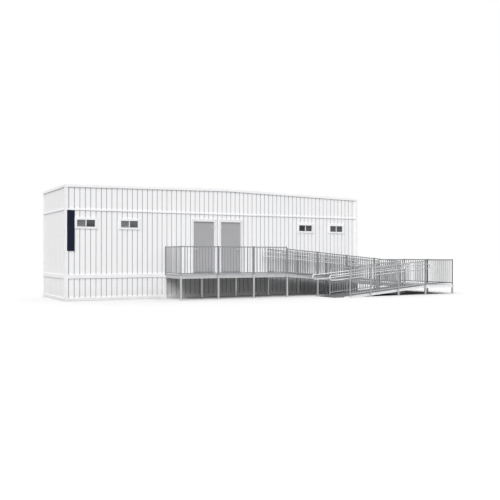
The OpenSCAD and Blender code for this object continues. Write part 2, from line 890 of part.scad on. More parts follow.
// Outline of the lower ramp from z0 to z1 over its walking surface, cut off at the ground
module lower_outline(z0, z1) {
    foot0 = landing_x0 - (landing_h + z0) / lower_slope;
    foot1 = max(landing_x0 - (landing_h + z1) / lower_slope, toe_x);
    polygon([
        [foot1, 0], [foot0, 0], [landing_x0, landing_h + z0], [landing_x0, landing_h + z1]
    ]);
}

module lower_ramp_surface() {
    color(alu) site() upright(near_y + half, far_y - half) lower_outline(-surface_t, 0);
}

module lower_ramp_frame() {
    foot = landing_x0 - (landing_h - surface_t) / lower_slope;
    color(alu) site() intersection() {
        linear_extrude(height = landing_h)
            frame_plan(foot, landing_x0, near_y + half, far_y - half, ramp_bay / 2);
        upright(near_y, far_y) lower_outline(-surface_t - lower_frame_h, -surface_t);
    }
}

module lower_ramp_guards() {
    last = len(lower_bays) - 1;
    color(alu) site() for (y = [near_y, far_y], i = [0 : last]) {
        side = y == near_y ? 1 : -1;
        a = lower_leg_xs[i + 1] + (i == last ? 0 : joint_x);
        b = lower_leg_xs[i] - joint_x;
        translate([0, y, 0])
            guard_panel(a, b, lower_z(a), lower_z(b), lower_guard_h,
                        [lower_leg_z(i + 1), lower_leg_z(i)], [side, i == 0 ? side : 0]);
    }
}

module lower_handrails() {
    color(alu) site() for (y = [far_y - handrail_off, near_y + handrail_off])
        translate([landing_x0, y, 0]) mirror([1, 0, 0]) handrail(lower_run, landing_h);
}

// Thin wedge from the ground to the foot of the lower ramp
module toe_plate() {
    color([0.35, 0.35, 0.36]) site() upright(near_y + half, far_y - half) polygon([
        [toe_x - toe_len, 0], [toe_x - clear, 0], [toe_x - clear, toe_t],
        [toe_x - toe_len, toe_edge]
    ]);
}

skirting();
floor_platform();
front_wall_left();
front_wall_pier();
front_wall_right();
front_wall_head();
back_wall();
left_end_wall();
right_end_wall();
siding_front();
siding_back();
siding_ends();
base_boards();
belt_boards();
corner_boards();
roof_panel();
roof_edge();
window_frames();
window_panes();
door_frames();
door_sills();
hinge_pins();
left_door();
left_door_fittings();
left_lever();
right_door();
right_door_fittings();
right_lever();
blank_sign_panel();
deck_surface();
deck_frame();
legs();
deck_guards();
upper_ramp_surface();
upper_ramp_frame();
upper_ramp_guards();
upper_handrails();
landing_surface();
landing_frame();
landing_guards();
lower_ramp_surface();
lower_ramp_frame();
lower_ramp_guards();
lower_handrails();
toe_plate();
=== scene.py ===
"""Looks of the portable toilet building: finishes, decking, small hardware, camera and light."""

import math

import bmesh
import bpy
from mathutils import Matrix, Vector


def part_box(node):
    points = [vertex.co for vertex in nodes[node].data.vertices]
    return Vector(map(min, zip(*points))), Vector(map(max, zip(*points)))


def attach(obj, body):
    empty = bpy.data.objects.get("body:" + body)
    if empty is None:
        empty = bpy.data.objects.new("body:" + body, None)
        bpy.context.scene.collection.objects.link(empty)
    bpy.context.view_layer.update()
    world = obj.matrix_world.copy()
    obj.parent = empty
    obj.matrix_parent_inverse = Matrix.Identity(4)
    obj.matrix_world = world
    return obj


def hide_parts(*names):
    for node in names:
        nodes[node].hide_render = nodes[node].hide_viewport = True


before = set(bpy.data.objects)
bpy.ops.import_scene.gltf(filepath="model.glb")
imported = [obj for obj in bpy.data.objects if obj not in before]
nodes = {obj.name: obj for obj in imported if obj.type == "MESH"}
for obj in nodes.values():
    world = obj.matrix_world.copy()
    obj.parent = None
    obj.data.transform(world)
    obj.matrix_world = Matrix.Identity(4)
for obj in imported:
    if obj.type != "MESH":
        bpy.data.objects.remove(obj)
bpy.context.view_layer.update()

# Sizes that the CAD model also holds, in metres
GROOVE_PITCH = 0.2032
GROOVE_FIRST = 0.136
GROOVE_DEPTH = 0.009
SIDING_T = 0.015
SURFACE_T = 0.030
FRAME_H = 0.097
LOWER_FRAME_H = 0.077
FOOT_T = 0.010
STILE_W = 0.038
STILE_GAP = 0.008
LEG_W = 0.060
PIPE_R = 0.019
HANDRAIL_REACH = 0.305

# Faces of the building, from the model itself
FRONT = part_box("siding_front")[0].y
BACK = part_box("siding_back")[1].y
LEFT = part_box("siding_front")[0].x
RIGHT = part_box("siding_front")[1].x
DECK_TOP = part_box("deck_surface")[1].z
LANDING_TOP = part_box("landing_surface")[1].z


# --- Reading the model ---------------------------------------------------------------------


def solids(node):
    """The corner points of each separate solid in a CAD node."""
    mesh = nodes[node].data
    home, keys = {}, []
    for v in mesh.vertices:
        key = tuple(round(c, 5) for c in v.co)
        keys.append(home.setdefault(key, len(home)))
    parent = list(range(len(home)))

    def root(i):
        while parent[i] != i:
            parent[i] = parent[parent[i]]
            i = parent[i]
        return i

    for face in mesh.polygons:
        first = root(keys[face.vertices[0]])
        for v in face.vertices[1:]:
            parent[root(keys[v])] = first
    groups = {}
    for key, i in home.items():
        groups.setdefault(root(i), []).append(Vector(key))
    return sorted(groups.values(), key=lambda g: (round(g[0].x, 3), round(g[0].y, 3)))


def limits(points):
    """Lowest and highest corner of the box round some points."""
    low = Vector([min(p[i] for p in points) for i in range(3)])
    high = Vector([max(p[i] for p in points) for i in range(3)])
    return low, high


PANES = sorted((limits(g) for g in solids("window_panes")), key=lambda pane: pane[0].x)
# Painted reflections: how light the glass looks at its top and foot, left to right, two panes in
# each window
PANE_REFLECTIONS = (
    (0.11, 0.11), (0.20, 0.02), (0.11, 0.11), (0.30, 0.10),
    (0.01, 0.01), (0.08, 0.09), (0.12, 0.12), (0.13, 0.11),
)


# --- Material tools -----------------------------------------------------------------------


def srgb(*values):
    """Linear colour of display values from 0 to 255."""
    if len(values) == 1:
        values = values * 3
    out = []
    for v in values:
        c = v / 255
        out.append(c / 12.92 if c <= 0.04045 else ((c + 0.055) / 1.055) ** 2.4)
    return (*out, 1.0)


class Graph:
    """Adds and links the nodes of one node tree."""

    def __init__(self, tree):
        self.tree = tree

    def add(self, kind):
        return self.tree.nodes.new(kind)

    def link(self, a, b):
        self.tree.links.new(a, b)

    def put(self, value, socket):
        """Links an output, or sets a plain number or colour."""
        if isinstance(value, bpy.types.NodeSocket):
            self.link(value, socket)
        else:
            socket.default_value = value

    def math(self, operation, a, b=0.0):
        n = self.add("ShaderNodeMath")
        n.operation = operation
        self.put(a, n.inputs[0])
        self.put(b, n.inputs[1])
        return n.outputs[0]

    def seen(self):
        """1 where the camera looks, also through glass and in mirrors; 0 for scattered light."""
        path = self.add("ShaderNodeLightPath").outputs
        eye = self.math("MAXIMUM", path["Is Camera Ray"], path["Is Glossy Ray"])
        return self.math("MAXIMUM", eye, path["Is Transmission Ray"])


class Shader(Graph):
    """Wires one procedural Principled material."""

    def __init__(self, name, rough=0.5, metal=0.0):
        self.mat = bpy.data.materials.new(name)
        self.mat.use_nodes = True
        super().__init__(self.mat.node_tree)
        self.bsdf = self.tree.nodes["Principled BSDF"]
        self.bsdf.inputs["Roughness"].default_value = rough
        self.bsdf.inputs["Metallic"].default_value = metal
        self.place = self.add("ShaderNodeTexCoord").outputs["Object"]
        split = self.add("ShaderNodeSeparateXYZ")
        self.link(self.place, split.inputs[0])
        self.x, self.y, self.z = split.outputs

    def span(self, value, low, high, to_low=0.0, to_high=1.0, smooth=False):
        """Maps a range to another, clamped."""
        n = self.add("ShaderNodeMapRange")
        n.interpolation_type = "SMOOTHSTEP" if smooth else "LINEAR"
        self.put(value, n.inputs["Value"])
        n.inputs["From Min"].default_value = low
        n.inputs["From Max"].default_value = high
        n.inputs["To Min"].default_value = to_low
        n.inputs["To Max"].default_value = to_high
        return n.outputs[0]

    def noise(self, scale, stretch=(1, 1, 1), detail=3.0, rough=0.5):
        """Noise of the place on the part; a stretch under 1 draws it out along that axis."""
        m = self.add("ShaderNodeMapping")
        self.link(self.place, m.inputs["Vector"])
        m.inputs["Scale"].default_value = stretch
        n = self.add("ShaderNodeTexNoise")
        self.link(m.outputs[0], n.inputs["Vector"])
        n.inputs["Scale"].default_value = scale
        n.inputs["Detail"].default_value = detail
        n.inputs["Roughness"].default_value = rough
        return n.outputs[0]

    def vary(self, scale, low=0.0, high=1.0, detail=3.0):
        """Noise spread between two values."""
        return self.span(self.noise(scale, detail=detail), 0.3, 0.7, low, high)

    def line(self, value, pitch, width, first=0.0):
        """1 on thin lines every pitch along value, 0 between them."""
        at = self.math("SUBTRACT", value, first - pitch / 2)
        phase = self.math("FLOORED_MODULO", at, pitch)
        away = self.math("ABSOLUTE", self.math("SUBTRACT", phase, pitch / 2))
        return self.math("LESS_THAN", away, width / 2)

    def mix(self, amount, a, b):
        """Colour a, or b where amount is 1."""
        n = self.add("ShaderNodeMix")
        n.data_type = "RGBA"
        self.put(amount, n.inputs[0])
        self.put(a, n.inputs[6])
        self.put(b, n.inputs[7])
        return n.outputs[2]

    def color(self, value):
        self.put(value, self.bsdf.inputs["Base Color"])

    def rough(self, value):
        self.put(value, self.bsdf.inputs["Roughness"])

    def bump(self, height, distance, strength=1.0):
        n = self.add("ShaderNodeBump")
        n.inputs["Distance"].default_value = distance
        n.inputs["Strength"].default_value = strength
        self.link(height, n.inputs["Height"])
        self.link(n.outputs[0], self.bsdf.inputs["Normal"])


# --- Finishes -----------------------------------------------------------------------------

# Spacing of the joints and marks that the finishes draw, in metres
NAIL_STEP = 0.3048
NAIL_D = 0.006
NAIL_FIRST = 0.10               # height of the lowest row
NAIL_ASIDE = 0.028              # from a groove
BOARD_LEN = 3.6576
COPING_LEN = 3.048
COPING_FIRST = LEFT + COPING_LEN / 2
RIVET_ASIDE = 0.030             # from a lap
RIVET_Z = 4.21
ROOF_SHEET = 1.85
ROOF_LAP = 0.05
PANEL_W = 1.2192
THREAD_STEP = 0.0016
THREAD_D = 0.0005

# The cabin's ends are painted a little darker, to follow the photo's left end
# Painted shade: the outer faces of both ends are darkened by this share of black
END_PAINTED_SHADE = 0.11                # share of black
END_SKIN = 0.002                # depth of the outer faces, in metres


def dust_below(s, low, high, noise_scale, least, most):
    """How much dust lies on a wall: most of it under low, none over high."""
    fade = s.span(s.z, low, high, 1, 0, smooth=True)
    return s.math("MULTIPLY", fade, s.vary(noise_scale, least, most))


def siding_paint(name, face, sign, first, on_end=False):
    """White painted boards with painted shade in the grooves and on the end walls, embossed grain
    and a little dust.
    """
    s = Shader(name)
    across, along = (s.math("ABSOLUTE", s.x), s.y) if on_end else (s.y, s.x)
    depth = s.math("MULTIPLY", s.math("SUBTRACT", across, face), sign)
    # Painted shade: the grooves darken with their depth (the colour is mixed in below)
    groove_shade = s.span(depth, 0.0006, GROOVE_DEPTH * 0.8, smooth=True)
    board = s.math("FLOOR", s.math("DIVIDE", s.math("SUBTRACT", along, first), GROOVE_PITCH))
    pick = s.add("ShaderNodeTexWhiteNoise")
    pick.noise_dimensions = "1D"
    s.link(board, pick.inputs["W"])
    streaks = s.noise(1.2, (14, 14, 0.5), 4)
    tone = s.mix(s.span(pick.outputs[0], 0, 1, 0, 0.35), srgb(250, 250, 251), srgb(245, 245, 247))
    tone = s.mix(s.span(streaks, 0.35, 0.75, 0, 0.30), tone, srgb(234, 235, 237))
    tone = s.mix(dust_below(s, 0.05, 0.55, 3.0, 0.15, 0.6), tone, srgb(226, 225, 222))
    rows = s.line(s.z, NAIL_STEP, NAIL_D, NAIL_FIRST)
    nails = s.math("MULTIPLY", rows, s.line(along, GROOVE_PITCH, NAIL_D, first + NAIL_ASIDE))
    tone = s.mix(s.math("MULTIPLY", nails, 0.5), tone, srgb(196))
    # painted shade on the end walls
    if on_end:
        tone = s.mix(END_PAINTED_SHADE, tone, srgb(0))
    s.color(s.mix(groove_shade, tone, srgb(157, 158, 161)))
    s.rough(s.vary(9.0, 0.42, 0.58))
    grain = s.noise(40.0, (1, 1, 0.06), 5, 0.6)
    s.bump(s.math("SUBTRACT", grain, s.math("MULTIPLY", nails, 0.6)), 0.0006, 0.5)
    return s.mat


def end_painted_shade(s, tone, node):
    """Painted shade: darkens a paint on the outer faces of a node at the cabin's two ends."""
    left, right = (corner.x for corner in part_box(node))
    on_left = s.span(s.x, left, left + END_SKIN, 1, 0)
    on_right = s.span(s.x, right - END_SKIN, right, 0, 1)
    ends = s.math("MAXIMUM", on_left, on_right)
    return s.mix(s.math("MULTIPLY", ends, END_PAINTED_SHADE), tone, srgb(0))


def trim_paint(name="white_trim_paint", light=srgb(249, 249, 250), dark=srgb(242, 242, 244)):
    """Brushed white paint on boards: joints every 3.66 m, fine brush marks, dust low down, and
    painted shade on the cabin's ends.
    """
    s = Shader(name)
    tone = s.mix(s.span(s.noise(2.0, (1, 1, 2)), 0.3, 0.7), light, dark)
    tone = s.mix(dust_below(s, 0.02, 0.16, 6.0, 0.2, 0.7), tone, srgb(222, 221, 218))
    joint = s.line(s.x, BOARD_LEN, 0.003, LEFT)
    # painted shade on the cabin's ends
    tone = end_painted_shade(s, tone, "belt_boards")
    s.color(s.mix(s.math("MULTIPLY", joint, 0.6), tone, srgb(150)))
    s.rough(s.vary(14.0, 0.34, 0.48))
    marks = s.math("ADD", s.noise(60.0, (0.08, 0.08, 1), 4), s.noise(60.0, (1, 1, 0.08), 4))
    s.bump(s.math("SUBTRACT", marks, joint), 0.0004, 0.35)
    return s.mat


def coping_metal():
    """Factory painted metal edge: laps every 3.05 m, rivets near them, and painted shade on the
    cabin's ends.
    """
    s = Shader("coping_paint", 0.38)
    tone = s.mix(s.vary(1.5), srgb(251, 251, 252), srgb(245, 245, 247))
    lap = s.line(s.x, COPING_LEN, 0.004, COPING_FIRST)
    across = s.line(s.x, COPING_LEN, 0.007, COPING_FIRST + RIVET_ASIDE)
    rivets = s.math("MULTIPLY", across, s.line(s.z, 0.04, 0.007, RIVET_Z))
    # painted shade on the cabin's ends
    tone = end_painted_shade(s, tone, "roof_edge")
    s.color(s.mix(s.math("MAXIMUM", s.math("MULTIPLY", lap, 0.6), rivets), tone, srgb(168)))
    s.rough(s.vary(20.0, 0.30, 0.42))
    s.bump(s.math("ADD", s.noise(3.0), s.math("ADD", lap, rivets)), 0.0008, 0.3)
    return s.mat


def roof_membrane():
    """Pale roof sheet with welded laps across the roof, dust and faint water marks.

    It is darker than a white roof, so that it keeps its detail in views from above.
    """
    s = Shader("roof_membrane", 0.7)
    dust = s.span(s.noise(0.8, detail=6), 0.3, 0.75)
    tone = s.mix(dust, srgb(180, 180, 179), srgb(168, 168, 166))
    marks = s.span(s.noise(1.7, detail=5), 0.46, 0.62)
    tone = s.mix(s.math("MULTIPLY", marks, 0.16), tone, srgb(150, 149, 145))
    lap = s.line(s.x, ROOF_SHEET, ROOF_LAP)
    edge = s.line(s.x, ROOF_SHEET, 0.006, ROOF_LAP / 2)
    tone = s.mix(s.math("MULTIPLY", lap, 0.25), tone, srgb(196))
    s.color(s.mix(s.math("MULTIPLY", edge, 0.6), tone, srgb(112)))
    s.rough(s.vary(5.0, 0.6, 0.8))
    s.bump(s.math("ADD", s.noise(120.0), s.math("MULTIPLY", lap, 3)), 0.0008, 0.5)
    return s.mat


def door_paint():
    """Grey painted steel door: light orange peel, scuffs low down."""
    s = Shader("grey_door_paint")
    tone = s.mix(s.vary(1.3, detail=4), srgb(172, 172, 174), srgb(165, 165, 168))
    low_down = s.span(s.z, 0.99, 1.45, 1, 0, smooth=True)
    scuffs = s.math("MULTIPLY", low_down, s.span(s.noise(9.0, (1, 1, 0.4), 6), 0.5, 0.7))
    tone = s.mix(s.math("MULTIPLY", scuffs, 0.5), tone, srgb(146, 146, 148))
    s.color(tone)
    s.rough(s.vary(12.0, 0.36, 0.5))
    s.bump(s.noise(420.0, detail=2), 0.0002, 0.4)
    return s.mat


def aluminium(name, light, dark, metal=0.55, rough=0.42, run=(1, 1, 0.04), lit_beyond=None):
    """Mill aluminium: drawn streaks along the member, cloudy oxide, and painted light that makes it
    brighter beyond a given y.
    """
    s = Shader(name, rough, metal)
    drawn = s.noise(170.0, run, 4, 0.6)
    cloud = s.noise(5.0, detail=5)
    amount = s.math("ADD", s.math("MULTIPLY", drawn, 0.6), s.math("MULTIPLY", cloud, 0.5))
    tone = s.mix(s.span(amount, 0.35, 0.8), light, dark)
    if lit_beyond is not None:
        # Painted light: brighter beyond the given y
        painted_light = s.math("GREATER_THAN", s.y, lit_beyond)
        tone = s.mix(s.math("MULTIPLY", painted_light, 0.9), tone, srgb(253))
    s.color(tone)
    s.rough(s.span(cloud, 0.3, 0.7, rough - 0.08, rough + 0.1))
    s.bump(drawn, 0.0002, 0.35)
    return s.mat


def steel(name="brushed_steel", tone=srgb(196, 197, 199), dark=srgb(164, 165, 168), metal=0.85):
    """Steel brushed along x."""
    s = Shader(name, 0.3, metal)
    brushed = s.noise(900.0, (0.05, 1, 1), 3)
    s.color(s.mix(s.span(brushed, 0.3, 0.7), tone, dark))
    s.rough(s.span(brushed, 0.3, 0.7, 0.24, 0.4))
    s.bump(brushed, 0.0001, 0.3)
    return s.mat


def dark_glass():
    """Dark obscured glass, with a painted reflection for each pane: a level in place of what it
    would mirror.
    """
    s = Shader("dark_glass", 0.08)
    s.bsdf.inputs["IOR"].default_value = 1.5
    level = s.vary(7.0, -0.02, 0.02, detail=4)
    for (low, high), (top, foot) in zip(PANES, PANE_REFLECTIONS):
        away = s.math("ABSOLUTE", s.math("SUBTRACT", s.x, (low.x + high.x) / 2))
        here = s.math("LESS_THAN", away, (high.x - low.x) / 2 + 0.001)
        shade = s.span(s.z, low.z, high.z, foot, top)
        level = s.math("ADD", level, s.math("MULTIPLY", here, shade))
    s.color(s.mix(s.math("MAXIMUM", level, 0.0), srgb(6, 8, 12), srgb(186, 190, 196)))
    s.rough(s.vary(30.0, 0.06, 0.16))
    s.bump(s.noise(260.0, detail=1), 0.0004, 0.35)
    return s.mat


def insect_screen():
    """Grey woven screen, its threads 1.6 mm apart."""
    s = Shader("insect_screen", 0.7)
    upright = s.line(s.x, THREAD_STEP, THREAD_D)
    threads = s.math("MAXIMUM", upright, s.line(s.z, THREAD_STEP, THREAD_D))
    tone = s.mix(s.vary(4.0), srgb(128, 129, 131), srgb(112, 113, 116))
    s.color(s.mix(threads, srgb(104, 105, 108), tone))
    s.bump(threads, 0.0003, 0.6)
    return s.mat


def navy_paint():
    """Dark blue satin paint of the blank panel."""
    s = Shader("navy_paint", 0.5)
    s.bsdf.inputs["Specular IOR Level"].default_value = 0.2
    s.color(s.mix(s.vary(2.5, detail=4), srgb(4, 12, 34), srgb(8, 17, 42)))
    s.rough(s.vary(16.0, 0.45, 0.6))
    s.bump(s.noise(380.0, detail=2), 0.0002, 0.3)
    return s.mat


def rubber():
    """Black rubber with a little dust."""
    s = Shader("black_rubber", 0.8)
    s.color(s.mix(s.span(s.noise(11.0, detail=5), 0.4, 0.8), srgb(38), srgb(70, 69, 66)))
    s.rough(s.vary(40.0, 0.65, 0.9))
    s.bump(s.noise(500.0), 0.0004, 0.5)
    return s.mat


def wall_panel():
    """Inner wall board: off-white vinyl with a fine linen emboss and joints 1.22 m apart."""
    s = Shader("wall_panel", 0.6)
    across = s.line(s.x, PANEL_W, 0.004, LEFT)
    joint = s.math("MAXIMUM", across, s.line(s.y, PANEL_W, 0.004, FRONT))
    tone = s.mix(s.vary(2.0, detail=5), srgb(218, 214, 204), srgb(208, 203, 192))
    s.color(s.mix(s.math("MULTIPLY", joint, 0.5), tone, srgb(150, 146, 138)))
    weave = s.math("ADD", s.noise(700.0, (1, 1, 0.15)), s.noise(700.0, (0.15, 0.15, 1)))
    s.rough(s.vary(8.0, 0.5, 0.7))
    s.bump(s.math("SUBTRACT", weave, joint), 0.0004, 0.4)
    return s.mat


def floor_sheet():
    """Grey sheet flooring on the platform, with flecks and trodden paths."""
    s = Shader("floor_sheet", 0.5)
    flecks = s.span(s.noise(420.0, detail=1), 0.58, 0.62)
    tone = s.mix(s.vary(0.9, detail=4), srgb(150, 146, 138), srgb(128, 124, 117))
    s.color(s.mix(s.math("MULTIPLY", flecks, 0.6), tone, srgb(186, 183, 176)))
    s.rough(s.vary(1.4, 0.38, 0.62))
    s.bump(s.noise(600.0), 0.0002, 0.3)
    return s.mat


# Tones follow the photo's light as well as the materials: the rear legs are brighter than the
# front ones, and the greys of the guards, beams and walkways differ a little
REAR_LEGS = FRONT - 0.4         # the legs beyond this y stand along the wall
LEVEL = (0.04, 1, 1)            # streaks that run along x
ACROSS = (1, 0.04, 1)           # streaks that run along y
MATS = {
    "siding_front": siding_paint("siding_paint_front", FRONT, 1, LEFT + GROOVE_FIRST),
    "siding_back": siding_paint("siding_paint_back", BACK, -1, RIGHT - GROOVE_FIRST),
    "siding_ends": siding_paint("siding_paint_ends", RIGHT, -1, BACK - SIDING_T - GROOVE_FIRST,
                                on_end=True),
    "trim": trim_paint(),
    # Door frames: a darker copy of the trim paint, as painted shade
    "frame": trim_paint("door_frame_shaded_paint", srgb(240, 240, 242), srgb(233, 233, 236)),
    "coping": coping_metal(),
    "roof": roof_membrane(),
    "door": door_paint(),
    "glass": dark_glass(),
    "screen": insect_screen(),
    "navy": navy_paint(),
    "rubber": rubber(),
    "steel": steel(),
    "satin": steel("satin_steel", srgb(238, 239, 240), srgb(214, 215, 217), 0.35),
    # Levers: steel made near-white, partly a painted highlight
    "lever": steel("lever_steel_highlight", srgb(252, 252, 253), srgb(238, 239, 240), 0.2),
    "bolt": steel("zinc_steel", srgb(186, 187, 190), srgb(150, 151, 155)),
    "wall": wall_panel(),
    "floor": floor_sheet(),
    # The legs along the wall get painted light
    "leg": aluminium("mill_aluminium_upright", srgb(206, 207, 209), srgb(180, 181, 184),
                     lit_beyond=REAR_LEGS),
    "beam": aluminium("mill_aluminium_level", srgb(206, 207, 209), srgb(182, 183, 186), run=LEVEL),
    "guard": aluminium("guard_aluminium", srgb(152, 153, 155), srgb(133, 134, 137), 0.4, 0.5),
    "low_guard": aluminium("low_guard_aluminium", srgb(180, 181, 183), srgb(161, 162, 165),
                           0.4, 0.5),
    "end_guard": aluminium("end_guard_aluminium", srgb(128, 129, 131), srgb(111, 112, 115),
                           0.4, 0.5),
    "pipe": aluminium("pipe_aluminium", srgb(240, 241, 242), srgb(226, 227, 229), 0.2, 0.34, LEVEL),
    "low_beam": aluminium("bright_aluminium_level", srgb(246, 247, 249), srgb(226, 227, 229), 0.4,
                          run=LEVEL),
    "tread": aluminium("tread_aluminium", srgb(112, 113, 115), srgb(94, 95, 98), 0.3, 0.6, ACROSS),
    "deck": aluminium("deck_aluminium", srgb(165, 166, 168), srgb(145, 146, 149), 0.3, 0.6, ACROSS),
}
FINISH = {
    "skirting": "wall", "floor_platform": "floor", "front_wall_left": "wall",
    "front_wall_pier": "wall", "front_wall_right": "wall", "front_wall_head": "wall",
    "back_wall": "wall", "left_end_wall": "wall", "right_end_wall": "wall",
    "siding_front": "siding_front", "siding_back": "siding_back", "siding_ends": "siding_ends",
    "base_boards": "trim", "belt_boards": "trim", "corner_boards": "trim", "roof_panel": "roof",
    "roof_edge": "coping", "window_frames": "trim", "window_panes": "glass",
    "door_frames": "frame", "door_sills": "beam", "hinge_pins": "satin", "left_door": "door",
    "left_door_fittings": "satin", "left_lever": "lever", "right_door": "door",
    "right_door_fittings": "satin", "right_lever": "lever", "blank_sign_panel": "navy",
    "deck_surface": "tread", "deck_frame": "beam", "legs": "leg", "deck_guards": "guard",
    "upper_ramp_surface": "tread", "upper_ramp_frame": "beam", "upper_ramp_guards": "guard",
    "upper_handrails": "pipe", "landing_surface": "tread", "landing_frame": "low_beam",
    "landing_guards": "end_guard", "lower_ramp_surface": "tread", "lower_ramp_frame": "low_beam",
    "lower_ramp_guards": "low_guard", "lower_handrails": "pipe", "toe_plate": "rubber",
}


def dress_nodes():
    """Gives each CAD node its finish, and shades the round ones smoothly."""
    for name, obj in nodes.items():
        obj.data.materials.clear()
        obj.data.materials.append(MATS[FINISH[name]])
    for name in ("upper_handrails", "lower_handrails", "left_lever", "right_lever"):
        smooth = nodes[name].data
        smooth.polygons.foreach_set("use_smooth", [True] * len(smooth.polygons))


# --- Camera, light and floor --------------------------------------------------------------

EYE = (-13.0405, -25.129, 1.683)
EYE_PITCH = 90.4456             # degrees; 90 looks level
EYE_HEADING = -29.3385
LENS = 49.157                   # mm, for a sensor 36 mm wide
SENSOR = 36.0
VIEW_DEPTH = 300.0

SUN_STRENGTH = 2.68
SUN_WAY = (0.46, 0.54, -0.70)
SUN_SPREAD = 55.0               # degrees, for a wide soft light
DOME_HORIZON = 0.20
DOME_ZENITH = 1.42
DOME_BEHIND = 0.6               # more light from behind the cabin
FLOOR_HALF = 120.0
FLOOR_SHOWN = 0.593             # the floor's grey as the camera sees it
FLOOR_BOUNCE = 0.14             # and as it throws light back up


def make_camera():
    """The photograph's view: eye height 1.7 m, from the front left."""
    data = bpy.data.cameras.new("camera")
    data.lens = LENS
    data.sensor_width = SENSOR
    data.clip_end = VIEW_DEPTH
    camera = bpy.data.objects.new("camera", data)
    camera.location = EYE
    camera.rotation_euler = (math.radians(EYE_PITCH), 0.0, math.radians(EYE_HEADING))
    bpy.context.scene.collection.objects.link(camera)
    bpy.context.scene.camera = camera


def make_world():
    """Soft dome, brighter overhead and behind; the camera and mirror-like rays see plain white."""
    world = bpy.data.worlds.new("world")
    world.use_nodes = True
    g = Graph(world.node_tree)
    back = g.tree.nodes["Background"]
    back.inputs[0].default_value = (1, 1, 1, 1)
    seen = g.seen()
    split = g.add("ShaderNodeSeparateXYZ")
    g.link(g.add("ShaderNodeTexCoord").outputs["Generated"], split.inputs[0])
    dome = g.add("ShaderNodeMapRange")
    dome.inputs["To Min"].default_value = DOME_HORIZON
    dome.inputs["To Max"].default_value = DOME_ZENITH
    g.link(split.outputs["Z"], dome.inputs["Value"])
    rear = g.math("MULTIPLY", g.math("MAXIMUM", split.outputs["Y"], 0.0), DOME_BEHIND)
    light = g.math("ADD", dome.outputs[0], rear)
    g.link(g.math("MAXIMUM", seen, light), back.inputs[1])
    bpy.context.scene.world = world


def make_sun():
    """A wide soft light from the front left, high up."""
    data = bpy.data.lights.new("key", "SUN")
    data.energy = SUN_STRENGTH
    data.angle = math.radians(SUN_SPREAD)
    sun = bpy.data.objects.new("key", data)
    sun.rotation_euler = Vector(SUN_WAY).to_track_quat("-Z", "Y").to_euler()
    bpy.context.scene.collection.objects.link(sun)


def make_floor():
    """Pale ground: the camera sees it as white, and it throws less light back up."""
    mesh = bpy.data.meshes.new("floor")
    r = FLOOR_HALF
    mesh.from_pydata([(-r, -r, 0), (r, -r, 0), (r, r, 0), (-r, r, 0)], [], [(0, 1, 2, 3)])
    floor = bpy.data.objects.new("floor", mesh)
    bpy.context.scene.collection.objects.link(floor)
    s = Shader("studio_floor", 0.9)
    s.bsdf.inputs["Specular IOR Level"].default_value = 0.0
    s.color(s.mix(s.seen(), (*[FLOOR_BOUNCE] * 3, 1), (*[FLOOR_SHOWN] * 3, 1)))
    floor.data.materials.append(s.mat)


# --- Geometry tools -----------------------------------------------------------------------

WASHER_T = 0.0015


def new_piece(name, maker, finish, body="root", replaced=()):
    """Adds what a Maker has collected as one visible piece."""
    obj = bpy.data.objects.new(name, maker.mesh(name))
    bpy.context.scene.collection.objects.link(obj)
    obj.data.materials.append(MATS[finish])
    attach(obj, body)
    if replaced:
        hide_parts(*replaced)


